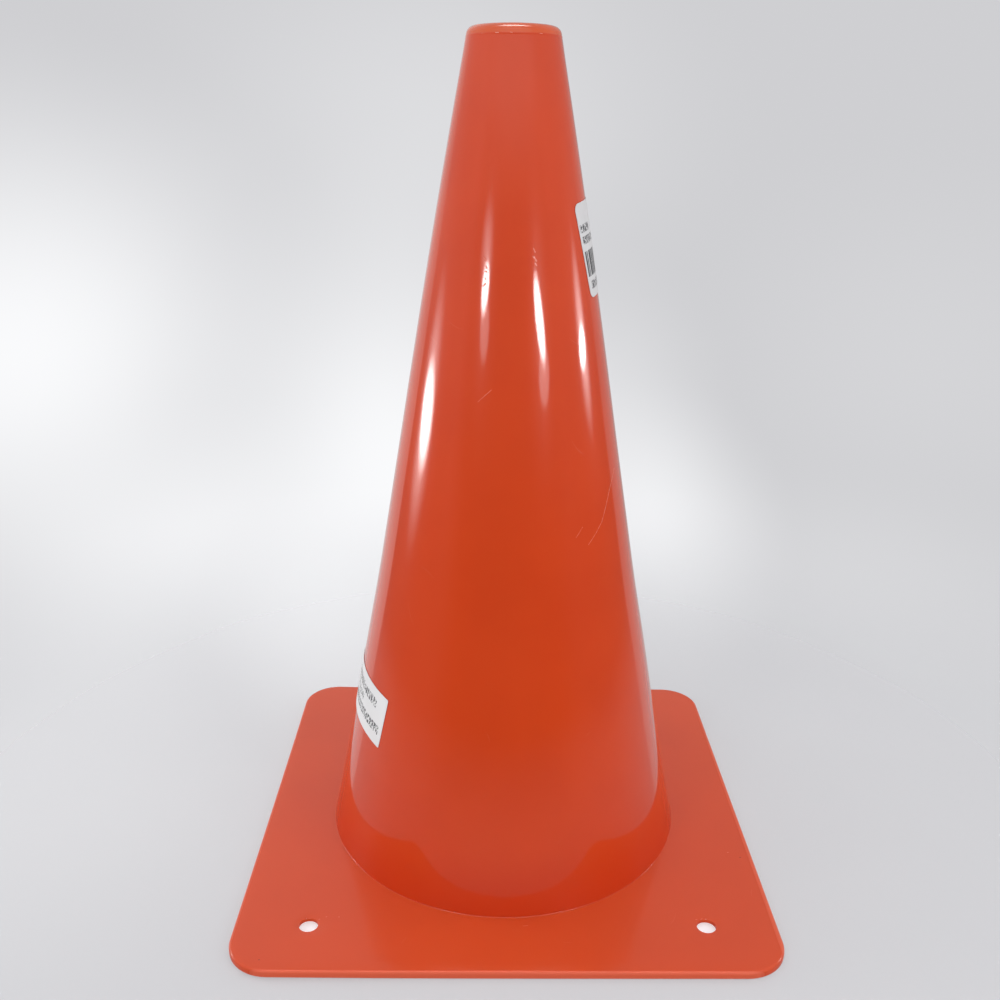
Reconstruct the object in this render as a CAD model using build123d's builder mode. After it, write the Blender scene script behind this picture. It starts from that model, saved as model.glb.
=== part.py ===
from build123d import *
import math
import os

# Square base plate: a thin sheet with its edge turned down to the floor as a rim
base_margin = 27.5
base_thickness = 3.0
base_sheet_thickness = 1.5
base_rim_width = 2.5
base_corner_radius = 16.0
base_top_edge_radius = 1.2
base_bottom_edge_break = 0.5

# Peg holes near the plate's corners, inset from its left and right edges and from its front and back
peg_hole_diameter = 7.0
peg_hole_side_inset = 26.7
peg_hole_end_inset = 23.2
peg_hole_edge_break = 0.3

# Cone wall, with its height measured from the floor to the rim
cone_height = 314.0
foot_diameter = 145.0
wall_thickness = 2.0

# Lower wall, which bends gently outwards from the line of the straight upper wall
flare_height = 130.0
flare_reach = 3.0

# Rounded rim round the pole hole
pole_hole_diameter = 25.0
rim_width = 3.5
rim_depth = 5.0
shoulder_radius = 3.0
pole_hole_edge_radius = 0.4

# Paper labels, each placed by the azimuth of its middle, with a gap behind them for the glue
# and the unevenness of the moulded wall
label_thickness = 0.15
label_gap = 0.5
barcode_label_width = 50.0
barcode_label_height = 33.0
barcode_label_corner_radius = 2.5
barcode_label_below_rim = 71.9
barcode_label_azimuth = 19.6
barcode_label_tilt = 0.0
address_label_width = 50.0
address_label_height = 21.0
address_label_corner_radius = 0.5
address_label_above_plate = 62.3
address_label_azimuth = -166.7
address_label_tilt = -2.5

# Sizes that follow
base_side = foot_diameter + 2 * base_margin
peg_hole_spacing_across = base_side - 2 * peg_hole_side_inset
peg_hole_spacing_deep = base_side - 2 * peg_hole_end_inset
base_hollow_side = base_side - 2 * base_rim_width
foot_radius = foot_diameter / 2
pole_hole_radius = pole_hole_diameter / 2
crown_radius = pole_hole_radius + rim_width
rim_floor = cone_height - rim_depth
upper_angle = math.atan2(foot_radius - flare_reach - crown_radius, cone_height - base_thickness)

# Arc of the flare in the wall's section: it leaves the straight wall at the bend without
# a kink and ends at the foot, so its centre lies square off the wall at the bend
bend_radius = crown_radius + (cone_height - flare_height) * math.tan(upper_angle)
flare_drop = flare_height - base_thickness
flare_chord = math.hypot(foot_radius - bend_radius, flare_drop)
flare_turn = math.atan2(foot_radius - bend_radius, flare_drop) - upper_angle
flare_radius = flare_chord / (2 * math.sin(flare_turn))
flare_centre_radius = bend_radius + flare_radius * math.cos(upper_angle)
flare_centre_height = flare_height + flare_radius * math.sin(upper_angle)


# Height of the bend on a surface that lies a lift off the wall's outside
def bend_level(lift):
    return flare_height + lift * math.sin(upper_angle)


# Radius of that surface at a height
def wall_radius(height, lift):
    if height > bend_level(lift):
        return crown_radius + (cone_height - height) * math.tan(upper_angle) + lift / math.cos(upper_angle)
    return flare_centre_radius - math.sqrt((flare_radius - lift) ** 2 - (flare_centre_height - height) ** 2)


# Angle between the wall's outside and the cone's axis at a height
def wall_angle(height):
    if height > flare_height:
        return upper_angle
    return math.asin((flare_centre_height - height) / flare_radius)


# Section of that surface between two heights, as a line above the bend and an arc below it
def wall_curve(low, high, lift):
    def point(height):
        return (wall_radius(height, lift), height)

    bend = bend_level(lift)
    if high > bend:
        Line(point(high), point(max(low, bend)))
    if low < bend:
        top = min(high, bend)
        ThreePointArc(point(top), point((low + top) / 2), point(low))


# A plane on the outside of the wall, at a place measured across and up from a label's
# middle on the wall unrolled flat, with its x axis along the label's own width
def wall_plane(azimuth, height, tilt, across, up):
    turn = math.radians(tilt)
    angle = wall_angle(height)
    apex_height = height + wall_radius(height, 0) / math.tan(angle)
    slant = (apex_height - height) / math.cos(angle)
    side = across * math.cos(turn) - up * math.sin(turn)
    reach = slant - across * math.sin(turn) - up * math.cos(turn)
    swing = math.degrees(math.atan2(side, reach))
    place = math.hypot(side, reach)
    around = azimuth + swing / math.sin(angle)
    point = Vector(place * math.sin(angle), 0, apex_height - place * math.cos(angle))
    outward = Vector(math.cos(angle), 0, math.sin(angle)).rotate(Axis.Z, around)
    level = Vector(0, 1, 0).rotate(Axis.Z, around)
    along = level.rotate(Axis((0, 0, 0), outward), tilt - swing)
    return Plane(origin=point.rotate(Axis.Z, around), x_dir=along, z_dir=outward)


# Section of a band round the wall between two heights, from one lift off its surface to
# another; it is straight and lies along the wall at its middle height
def wall_band(low, high, near, far):
    middle = (low + high) / 2
    angle = wall_angle(middle)

    def point(height, lift):
        return (wall_radius(middle, 0) + (middle - height) * math.tan(angle) + lift / math.cos(angle), height)

    with BuildSketch(Plane.YZ) as band:
        Polygon(point(low, near), point(low, far), point(high, far), point(high, near), align=None)
    return band.sketch


# A flat paper label stuck round the wall: a thick ring is trimmed square to the wall
# along the label's four edges, its corners are rounded, and the paper's skin is kept
def paper_label(width, height, corner_radius, middle, azimuth, tilt):
    low = middle - height
    high = middle + height
    trim_depth = 2 * corner_radius + label_gap + label_thickness
    with BuildPart() as label:
        revolve(wall_band(low, high, -trim_depth, trim_depth), axis=Axis.Z)
        for side in (-1, 1):
            end = wall_plane(azimuth, middle, tilt, side * width / 2, 0)
            split(bisect_by=Plane(end.origin, x_dir=end.z_dir, z_dir=side * end.x_dir), keep=Keep.BOTTOM)
            edge = wall_plane(azimuth, middle, tilt, 0, side * height / 2)
            split(bisect_by=Plane(edge.origin, x_dir=edge.z_dir, z_dir=side * edge.y_dir), keep=Keep.BOTTOM)
        fillet(label.edges().sort_by(SortBy.LENGTH)[:4], corner_radius)
        paper = wall_band(low, high, label_gap, label_gap + label_thickness)
        revolve(paper, axis=Axis.Z, mode=Mode.INTERSECT)
    return label


# Inside of the wall where it stands on the plate
foot_inner_radius = wall_radius(base_thickness, -wall_thickness)

# Hollow cone wall, standing on the plate, with a thicker rim round the pole hole
with BuildPart() as cone_shell:
    with BuildSketch(Plane.YZ):
        with BuildLine():
            wall_curve(base_thickness, cone_height, 0)
            Polyline(
                (crown_radius, cone_height),
                (pole_hole_radius, cone_height),
                (pole_hole_radius, rim_floor),
                (wall_radius(rim_floor, -wall_thickness), rim_floor),
            )
            wall_curve(base_thickness, rim_floor, -wall_thickness)
            Line((foot_inner_radius, base_thickness), (foot_radius, base_thickness))
        section = make_face()
        rim_corners = section.vertices().group_by(Axis.Y)[-1].sort_by(Axis.X)
        fillet(rim_corners[0], pole_hole_edge_radius)
        fillet(rim_corners[-1], min(shoulder_radius, rim_width - pole_hole_edge_radius))
    revolve(axis=Axis.Z)

# Square plate, hollow below, with an opening under the cone that carries on the line of the wall's inside
with BuildPart() as base_plate:
    with BuildSketch():
        RectangleRounded(base_side, base_side, base_corner_radius)
    extrude(amount=base_thickness)
    fillet(base_plate.faces().sort_by(Axis.Z)[-1].edges(), base_top_edge_radius)
    chamfer(base_plate.faces().sort_by(Axis.Z)[0].edges(), base_bottom_edge_break)
    with BuildSketch():
        RectangleRounded(base_hollow_side, base_hollow_side, base_corner_radius - base_rim_width)
    extrude(amount=base_thickness - base_sheet_thickness, mode=Mode.SUBTRACT)
    with GridLocations(peg_hole_spacing_across, peg_hole_spacing_deep, 2, 2):
        Hole(peg_hole_diameter / 2)
    rims = base_plate.edges().filter_by(GeomType.CIRCLE)
    chamfer(rims.filter_by(lambda rim: abs(rim.radius - peg_hole_diameter / 2) < 0.01), peg_hole_edge_break)
    with BuildSketch(Plane.YZ):
        with BuildLine():
            wall_curve(0, base_thickness, -wall_thickness)
            Polyline(
                (wall_radius(0, -wall_thickness), 0),
                (0, 0),
                (0, base_thickness),
                (foot_inner_radius, base_thickness),
            )
        make_face()
    revolve(axis=Axis.Z, mode=Mode.SUBTRACT)

# Label high on the right side, with rounded corners
barcode_label = paper_label(
    barcode_label_width,
    barcode_label_height,
    barcode_label_corner_radius,
    cone_height - barcode_label_below_rim,
    barcode_label_azimuth,
    barcode_label_tilt,
)

# Label low on the left side, with nearly square corners
address_label = paper_label(
    address_label_width,
    address_label_height,
    address_label_corner_radius,
    base_thickness + address_label_above_plate,
    address_label_azimuth,
    address_label_tilt,
)

os.makedirs("parts", exist_ok=True)
cone_shell.part.label = "cone_shell"
base_plate.part.label = "base_plate"
barcode_label.part.label = "barcode_label"
address_label.part.label = "address_label"
export_step(cone_shell.part, "parts/cone_shell.step")
export_step(base_plate.part, "parts/base_plate.step")
export_step(barcode_label.part, "parts/barcode_label.step")
export_step(address_label.part, "parts/address_label.step")
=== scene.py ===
import bpy
import bmesh
import math
from mathutils import Matrix, Vector, noise
from mathutils.geometry import delaunay_2d_cdt


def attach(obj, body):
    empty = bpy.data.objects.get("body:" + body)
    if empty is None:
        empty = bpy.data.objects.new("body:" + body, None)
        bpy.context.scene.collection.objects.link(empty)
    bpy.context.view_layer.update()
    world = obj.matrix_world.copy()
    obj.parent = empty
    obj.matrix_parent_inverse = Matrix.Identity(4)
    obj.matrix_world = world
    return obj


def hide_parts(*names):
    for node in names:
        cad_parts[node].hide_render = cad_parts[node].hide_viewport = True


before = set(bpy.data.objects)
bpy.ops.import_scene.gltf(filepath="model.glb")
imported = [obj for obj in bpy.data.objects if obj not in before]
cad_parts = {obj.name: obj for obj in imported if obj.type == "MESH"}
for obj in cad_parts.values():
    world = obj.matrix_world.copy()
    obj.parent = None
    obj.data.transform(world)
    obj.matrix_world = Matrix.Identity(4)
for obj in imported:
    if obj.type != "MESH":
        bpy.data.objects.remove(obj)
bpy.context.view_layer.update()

mm = 0.001  # piece sizes are written in millimetres
sharpAngle = math.radians(40)
scene = bpy.context.scene
scene.view_settings.view_transform = "Standard"
print("frame:", ", ".join(sorted(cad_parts)))


# Small helpers for node trees
def wire(tree, socket, source):
    if isinstance(source, bpy.types.NodeSocket):
        tree.links.new(source, socket)
    else:
        socket.default_value = source


def wireAll(tree, node, sockets):
    for key, source in sockets.items():
        wire(tree, node.inputs[key], source)


def addNode(tree, kind, sockets=None, **settings):
    made = tree.nodes.new(kind)
    for key, value in settings.items():
        setattr(made, key, value)
    wireAll(tree, made, sockets or {})
    return made


def maths(tree, operation, *values):
    return addNode(tree, "ShaderNodeMath", dict(enumerate(values)), operation=operation).outputs[0]


def product(tree, first, second):
    return maths(tree, "MULTIPLY", first, second)


def vectorMaths(tree, operation, *values):
    made = addNode(tree, "ShaderNodeVectorMath", dict(enumerate(values)), operation=operation)
    single = operation in ("DOT_PRODUCT", "LENGTH", "DISTANCE")
    return made.outputs["Value" if single else "Vector"]


def ease(tree, value, low, high, atLow=0.0, atHigh=1.0):
    sockets = {"Value": value, "From Min": low, "From Max": high, "To Min": atLow, "To Max": atHigh}
    return addNode(tree, "ShaderNodeMapRange", sockets, interpolation_type="SMOOTHSTEP").outputs[0]


def mixColours(tree, factor, first, second, blend="MIX"):
    sockets = {0: factor, 6: first, 7: second}
    return addNode(tree, "ShaderNodeMix", sockets, data_type="RGBA", blend_type=blend).outputs[2]


def joined(tree, x, y, z=0.0):
    return addNode(tree, "ShaderNodeCombineXYZ", {0: x, 1: y, 2: z}).outputs[0]


def parted(tree, vector):
    return addNode(tree, "ShaderNodeSeparateXYZ", {0: vector}).outputs


def grain(tree, place, scale, detail):
    return addNode(tree, "ShaderNodeTexNoise", {"Vector": place, "Scale": scale, "Detail": detail}).outputs[0]


socketKinds = {float: "Float", int: "Int", tuple: "Color"}


# Each input has its default or, where it has none, the kind of its socket
def startTree(name, kind, inputs, outputs):
    tree = bpy.data.node_groups.new(name, kind)
    for label, value in inputs.items():
        socketKind = socketKinds.get(type(value), value)
        socket = tree.interface.new_socket(label, in_out="INPUT", socket_type="NodeSocket" + socketKind)
        if socketKind != value:
            socket.default_value = value
    for label, socketKind in outputs.items():
        tree.interface.new_socket(label, in_out="OUTPUT", socket_type="NodeSocket" + socketKind)
    return tree, addNode(tree, "NodeGroupInput").outputs, addNode(tree, "NodeGroupOutput").inputs


def placeGroup(tree, group, sockets):
    return addNode(tree, "ShaderNodeGroup", sockets, node_tree=group).outputs[0]


def startMaterial(name):
    material = bpy.data.materials.new(name)
    material.use_nodes = True
    return material, material.node_tree, material.node_tree.nodes["Principled BSDF"]


# Scattered cells, with three chances for each of them
def chanceCells(tree, given, dimensions):
    cells = addNode(tree, "ShaderNodeTexVoronoi", {"Vector": given["Place"], "Scale": given["Scale"]},
                    voronoi_dimensions=dimensions).outputs
    return cells, addNode(tree, "ShaderNodeSeparateColor", {"Color": cells["Color"]}).outputs


def between(tree, value, low, high):
    return product(tree, maths(tree, "GREATER_THAN", value, low), maths(tree, "LESS_THAN", value, high))


# Distance from the middle, as on a square plate
def squareReach(tree, x, y):
    return maths(tree, "MAXIMUM", maths(tree, "ABSOLUTE", x), maths(tree, "ABSOLUTE", y))


def bumped(tree, height, look):
    sockets = {"Height": height, "Strength": look["bumpStrength"], "Distance": look["bumpDepth"] * mm}
    return addNode(tree, "ShaderNodeBump", sockets).outputs[0]


# Runs a Geometry Nodes tree on a mesh and keeps the result as a plain mesh
def growPiece(name, startMesh, tree, values):
    piece = bpy.data.objects.new(name, startMesh)
    scene.collection.objects.link(piece)
    growth = piece.modifiers.new(tree.name, "NODES")
    growth.node_group = tree
    for item in tree.interface.items_tree:
        if item.item_type == "SOCKET" and item.in_out == "INPUT" and item.name in values:
            growth[item.identifier] = values[item.name]
    grown = bpy.data.meshes.new_from_object(piece.evaluated_get(bpy.context.evaluated_depsgraph_get()))
    piece.modifiers.remove(growth)
    piece.data = grown
    grown.name = name
    return piece


# Faces point outwards and look smooth, up to the sharp edges
def settleFaces(mesh):
    shape = bmesh.new()
    shape.from_mesh(mesh)
    bmesh.ops.recalc_face_normals(shape, faces=shape.faces)
    for face in shape.faces:
        face.smooth = True
    shape.to_mesh(mesh)
    shape.free()
    mesh.set_sharp_from_angle(angle=sharpAngle)


def meshPiece(name, points, faces, material):
    mesh = bpy.data.meshes.new(name)
    mesh.from_pydata(points, [], faces)
    mesh.materials.append(material)
    settleFaces(mesh)
    piece = bpy.data.objects.new(name, mesh)
    scene.collection.objects.link(piece)
    return piece


# Shader group: the moulding's colour, with cloudy and drawn-out differences in its pigment
def mouldedColourGroup():
    tree, given, result = startTree("mouldedColour", "ShaderNodeTree", {
        "Colour": (0.5, 0.1, 0.05, 1), "Deep Colour": (0.5, 0.1, 0.05, 1), "Place": "Vector", "Cloud Scale": 30.0,
        "Flow Scale": 60.0, "Variation": 0.06}, {"Colour": "Color"})
    cloud = grain(tree, given["Place"], given["Cloud Scale"], 3.0)
    drawn = vectorMaths(tree, "MULTIPLY", given["Place"], (1.0, 1.0, 0.12))  # drawn out upwards
    flow = grain(tree, drawn, given["Flow Scale"], 2.0)
    change = maths(tree, "SUBTRACT", maths(tree, "ADD", cloud, flow), 1.0)
    swing = maths(tree, "MULTIPLY_ADD", change, given["Variation"], 1.0)
    pigment = mixColours(tree, ease(tree, cloud, 0.35, 0.7), given["Colour"], given["Deep Colour"])
    wire(tree, result["Colour"], mixColours(tree, 1.0, pigment, joined(tree, swing, swing, swing), "MULTIPLY"))
    return tree


# Shader group: hairline handling scuffs on a flat sheet, a bent stroke in some of its cells
def hairScuffsGroup():
    tree, given, result = startTree("hairScuffs", "ShaderNodeTree", {
        "Place": "Vector", "Scale": 45.0, "Length": 0.005, "Width": 0.0001, "Share": 0.3}, {"Mask": "Float"})
    shortest, curve = 0.3, 0.16  # share of the length, and how far a stroke bends
    cells, chance = chanceCells(tree, given, "2D")
    away = vectorMaths(tree, "SUBTRACT", given["Place"], cells["Position"])
    angle = product(tree, chance[0], 2 * math.pi)
    turned = addNode(tree, "ShaderNodeVectorRotate", {"Vector": away, "Angle": angle}, rotation_type="Z_AXIS")
    along, across, _ = parted(tree, turned.outputs[0])
    length = product(tree, given["Length"], maths(tree, "MULTIPLY_ADD", chance[1], 1 - shortest, shortest))
    share = maths(tree, "DIVIDE", along, length)
    bend = product(tree, product(tree, along, share), curve)
    taper = maths(tree, "MAXIMUM", maths(tree, "SUBTRACT", 1.0, product(tree, share, share)), 0.0)
    gap = maths(tree, "ABSOLUTE", maths(tree, "SUBTRACT", across, bend))
    stroke = maths(tree, "LESS_THAN", gap, product(tree, given["Width"], taper))
    wire(tree, result["Mask"], product(tree, stroke, maths(tree, "LESS_THAN", chance[2], given["Share"])))
    return tree


# Shader group: small round specks, each cell with its own chance and size
def specksGroup():
    tree, given, result = startTree("specks", "ShaderNodeTree", {
        "Place": "Vector", "Scale": 120.0, "Size": 0.12, "Share": 0.1}, {"Mask": "Float"})
    cells, chance = chanceCells(tree, given, "3D")
    spot = maths(tree, "LESS_THAN", cells["Distance"], product(tree, given["Size"], chance[1]))
    wire(tree, result["Mask"], product(tree, spot, maths(tree, "LESS_THAN", chance[0], given["Share"])))
    return tree


# Shader group: one straight stroke between two places, frayed along its length; it draws scratches and painted
# highlights of small glints
def scratchAndGlintGroup():
    tree, given, result = startTree("scratchAndGlint", "ShaderNodeTree", {
        "Place": "Vector", "Start": "Vector", "End": "Vector", "Width": 0.0004}, {"Mask": "Float"})
    frayScale, widest, core = 900.0, 1.2, 0.4  # widest as a share of the width, core as a share of the widest
    run = vectorMaths(tree, "SUBTRACT", given["End"], given["Start"])
    away = vectorMaths(tree, "SUBTRACT", given["Place"], given["Start"])
    square = vectorMaths(tree, "DOT_PRODUCT", run, run)
    along = maths(tree, "DIVIDE", vectorMaths(tree, "DOT_PRODUCT", away, run), square)
    along = maths(tree, "MINIMUM", maths(tree, "MAXIMUM", along, 0.0), 1.0)
    nearest = addNode(tree, "ShaderNodeVectorMath", {0: run, "Scale": along}, operation="SCALE").outputs[0]
    gap = vectorMaths(tree, "DISTANCE", away, nearest)
    fray = grain(tree, given["Place"], frayScale, 1.0)
    reach = product(tree, given["Width"], product(tree, fray, widest))
    soft = product(tree, reach, core)
    wire(tree, result["Mask"], maths(tree, "SUBTRACT", 1.0, ease(tree, gap, soft, reach)))
    return tree


# Shader group: a row of plain printed bars, or of small dots in blocks, by chance from cell to cell
def printRowGroup():
    tree, given, result = startTree("printRow", "ShaderNodeTree", {
        "Place": "Vector", "Level": 0.5, "Depth": 0.1, "Left": 0.05, "Right": 0.95, "Cells": 60.0, "Lines": 1.0,
        "Blocks": 1.0, "Block Gap": 0.0, "Groups": 9.0, "Fill": 0.6, "Group Fill": 0.85, "Seed": 0.0},
        {"Mask": "Float"})
    lineSeed, groupSeed = 17.0, 137.0  # keep the lines and the groups apart
    across, height, _ = parted(tree, given["Place"])
    up = maths(tree, "DIVIDE", maths(tree, "SUBTRACT", height, given["Level"]), given["Depth"])
    up = maths(tree, "ADD", up, 0.5)
    inside = product(tree, between(tree, up, 0.0, 1.0), between(tree, across, given["Left"], given["Right"]))
    line = product(tree, maths(tree, "FLOOR", product(tree, up, given["Lines"])), lineSeed)
    block = maths(tree, "FRACT", product(tree, across, given["Blocks"]))
    marks = maths(tree, "LESS_THAN", block, maths(tree, "SUBTRACT", 1.0, given["Block Gap"]))
    for count, fill, shift in ((given["Cells"], given["Fill"], line),
                               (given["Groups"], given["Group Fill"], groupSeed)):
        cell = maths(tree, "FLOOR", product(tree, across, count))
        key = joined(tree, cell, maths(tree, "ADD", given["Seed"], shift))
        chance = addNode(tree, "ShaderNodeTexWhiteNoise", {"Vector": key}, noise_dimensions="2D").outputs[0]
        marks = product(tree, marks, maths(tree, "LESS_THAN", chance, fill))
    wire(tree, result["Mask"], product(tree, marks, inside))
    return tree


mouldedColour = mouldedColourGroup()
hairScuffs = hairScuffsGroup()
specks = specksGroup()
scratchAndGlint = scratchAndGlintGroup()
printRow = printRowGroup()
print("shader groups ready")

plasticLook = {
    "colour": (0.560, 0.0475, 0.0055, 1),
    "deepColour": (0.530, 0.043, 0.0048, 1),
    "paleMark": (0.72, 0.19, 0.10, 1),  # where the skin is scratched white, and the pale dots of painted highlights for small glints on the plate
    "grit": (0.10, 0.012, 0.005, 1),
    "roughness": 0.05,
    "ior": 1.50,
    "haze": 0.22,  # a second, rougher shine round the sharp one
    "hazeRoughness": 0.27,
    "dullMirrored": 0.0,  # added roughness in mirror images, so that they carry no glare
    "clouds": 28.0,
    "flow": 55.0,
    "variation": 0.05,
    "wearScale": 45.0,
    "wearSwing": 0.03,  # how far the roughness changes over the surface
    "skinScale": 260.0,
    "skinDepth": 0.2,
    "bumpStrength": 0.25,
    "bumpDepth": 0.08,
    "scuffShare": 0.16,
    "scuffMark": 0.3,  # how strong the scuffs are next to the scratches
    "markPaleness": 0.5,
    "markRoughness": 0.3,
    "markDepth": 1.2,
    "speckShare": 0.008,
    "speckScale": 95.0,
    "speckSize": 0.05,
    "tints": [],  # painted light and shade: colours that come in between two levels
    "dulled": [],  # roughness that comes in between two levels
    "throughLight": 0.12,  # how much light goes through the skin, how far and in which colours
    "throughReach": 3.0,
    "throughColours": (1.0, 0.25, 0.1),
}


# Glossy moulded plastic, marked where it was knocked, with painted highlights as pale marks and painted light and shade
# in bands by level. A turned wall takes its marks on its unrolled surface, and its levels are heights; a flat piece's
# levels are distances from the middle
def mouldedPlastic(name, look, scratchesAndGlints=(), grit=(), unrolled=False):
    material, tree, shader = startMaterial(name)
    place = addNode(tree, "ShaderNodeTexCoord").outputs["Object"]
    sheet = vectorMaths(tree, "MULTIPLY", place, (1.0, 1.0, 0.0))
    x, y, z = parted(tree, place)
    level = squareReach(tree, x, y)
    if unrolled:
        level = z
        turn = maths(tree, "ARCTAN2", x, product(tree, y, -1.0))
        around = product(tree, turn, vectorMaths(tree, "LENGTH", sheet))
        sheet = joined(tree, around, z)
    pigment = placeGroup(tree, mouldedColour, {
        "Colour": look["colour"], "Deep Colour": look["deepColour"], "Place": place, "Cloud Scale": look["clouds"],
        "Flow Scale": look["flow"], "Variation": look["variation"]})

    def drawn(strokes, mask):
        for width, places in strokes:
            for start, end in zip(places, places[1:]):
                stroke = placeGroup(tree, scratchAndGlint, {
                    "Place": sheet, "Start": (start[0] * mm, start[1] * mm, 0.0),
                    "End": (end[0] * mm, end[1] * mm, 0.0), "Width": width * mm})
                mask = maths(tree, "MAXIMUM", mask, stroke)
        return mask

    scuffs = placeGroup(tree, hairScuffs, {"Place": sheet, "Share": look["scuffShare"]})
    marks = drawn(scratchesAndGlints, product(tree, scuffs, look["scuffMark"]))
    dark = drawn(grit, placeGroup(tree, specks, {
        "Place": place, "Scale": look["speckScale"], "Size": look["speckSize"], "Share": look["speckShare"]}))
    # painted light and shade: bands of lighter or darker colour by level
    for low, high, paintedBandColour in look["tints"]:
        pigment = mixColours(tree, ease(tree, level, low * mm, high * mm), pigment, paintedBandColour)
    pale = product(tree, marks, look["markPaleness"])
    marked = mixColours(tree, pale, pigment, look["paleMark"])
    worn = grain(tree, place, look["wearScale"], 4.0)
    rough = maths(tree, "MULTIPLY_ADD", worn, look["wearSwing"], look["roughness"] - look["wearSwing"] / 2)
    rough = maths(tree, "MULTIPLY_ADD", marks, look["markRoughness"], rough)
    for low, high, amount in look["dulled"]:
        rough = maths(tree, "ADD", rough, ease(tree, level, low * mm, high * mm, 0.0, amount))
    mirrored = addNode(tree, "ShaderNodeLightPath").outputs["Is Glossy Ray"]
    skin = product(tree, grain(tree, place, look["skinScale"], 2.0), look["skinDepth"])
    wireAll(tree, shader, {
        "Base Color": mixColours(tree, dark, marked, look["grit"]),
        "Roughness": maths(tree, "MULTIPLY_ADD", mirrored, look["dullMirrored"], rough),
        "Normal": bumped(tree, maths(tree, "MULTIPLY_ADD", marks, -look["markDepth"], skin), look),
        "IOR": look["ior"],
        "Coat Weight": look["haze"],
        "Coat Roughness": look["hazeRoughness"],
        "Subsurface Weight": look["throughLight"],
        "Subsurface Radius": look["throughColours"],
        "Subsurface Scale": look["throughReach"] * mm,
    })
    return material


coneWall = {
    "footRadius": 72.5,
    "plateTop": 3.0,
    "rimTop": 314.0,
    "crownRadius": 16.0,
    "thickness": 2.0,
    "flareHeight": 130.0,  # below this the wall bends outwards
    "flareReach": 3.0,
    "swell": [  # how far the wall has drawn outwards, by height
        (3, 0.0), (25, 0.1), (50, 0.4), (80, 0.8), (115, 0.6), (160, 0.65), (200, 0.8), (250, 0.78), (285, 0.4),
        (304, 0.08), (314, 0.0),
    ],
    "poleHoleRadius": 12.5,
    "rimDepth": 5.0,
    "shoulderRadius": 3.0,
    "shoulderSteps": 10,
    "topBetween": (250, 300),  # the straight part below the shoulder
    "holeEdge": 0.4,
    "holeBreak": 0.08,
    "innerCorner": 0.1,
    "footBead": 0.3,
    "edgeSteps": 4,
    "footSink": 0.05,
    "mouldLine": 310.7,  # where the two halves of the mould met
    "mouldStep": 0.035,
    "mouldRidge": [(-0.3, 0.1), (-0.1, 1.0), (0.1, 0.9), (0.3, -0.2)],  # height off the line, share of the step
    "mouldClear": 0.5,  # the plain rows end this far below the line
    "rows": 130,
    "innerRows": 36,
    "segments": 256,
    "waveDepth": 0.11,  # unevenness of the moulded wall
    "waveAround": 1.5,
    "waveAlong": 20.0,
    "seed": 4.0,
    "look": {
        # the first band is painted shade: the wall's colour goes darker towards its foot, in the corner by the plate
        # the second band is painted light: the shoulder above the mould line is coloured lighter, as lit from above and
        # through the rim
        "tints": [(30.0, 4.0, (0.50, 0.034, 0.0038, 1)), (310.7, 311.1, (0.58, 0.074, 0.012, 1))],
        "dulled": [(3.9, 3.2, 0.12)],
    },
    "scratchesAndGlints": [  # width, then places by degrees from the front and height
        (0.30, [(66.8, 161.6), (62.3, 158.7), (57.5, 155.1), (52.3, 149.5), (48.5, 145.3), (43.2, 141.7),
                (38.2, 138.6)]),
        (0.24, [(35.5, 145.5), (31.5, 142.3)]),
        (0.20, [(-17.5, 191.4), (-14.0, 193.6), (-10.5, 195.7)]),
        (0.42, [(-19.2, 239.4), (-17.6, 238.8)]),
        (0.36, [(-17.4, 237.0), (-16.6, 236.0)]),
        (0.42, [(-17.4, 235.1), (-16.4, 234.7)]),
        (0.34, [(-17.6, 233.1), (-16.8, 232.4)]),
        (0.44, [(-16.9, 231.2), (-18.2, 230.2)]),
        (0.55, [(14.2, 242.6), (15.1, 241.6)]),
        (0.60, [(14.6, 239.8), (15.8, 238.7)]),
        (0.50, [(15.0, 237.8), (15.9, 237.2)]),
    ],
}


# Smooth curve through the knots of the swell
def wallSwell(height):
    knots = coneWall["swell"]
    inner = [(after[1] - before[1]) / (after[0] - before[0]) for before, after in zip(knots, knots[2:])]
    slopes = [0.0] + inner + [0.0]
    for number, ((low, start), (high, end)) in enumerate(zip(knots, knots[1:])):
        if low <= height <= high:
            t, run = (height - low) / (high - low), high - low
            ends = start + (end - start) * t * t * (3 - 2 * t)
            return ends + run * (slopes[number] * t * (1 - t) ** 2 - slopes[number + 1] * t * t * (1 - t))
    return 0.0


def wallRadius(height, lift=0.0):
    foot, crown, reach = coneWall["footRadius"], coneWall["crownRadius"], coneWall["flareReach"]
    low, high, flare = coneWall["plateTop"], coneWall["rimTop"], coneWall["flareHeight"]
    slope = (foot - reach - crown) / (high - low)
    bend = max(0.0, (flare - height) / (flare - low))
    return crown + (high - height) * slope + reach * bend ** 2 + wallSwell(height) + lift * math.hypot(1, slope)


# How far the wall leans in between two heights
def wallLean(low, high):
    return math.atan((wallRadius(low) - wallRadius(high)) / (high - low))


def arcPoints(centre, radius, start, end, steps):
    turns = [math.radians(start + (end - start) * step / steps) for step in range(steps + 1)]
    return [(centre[0] + radius * math.cos(turn), centre[1] + radius * math.sin(turn)) for turn in turns]


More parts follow.
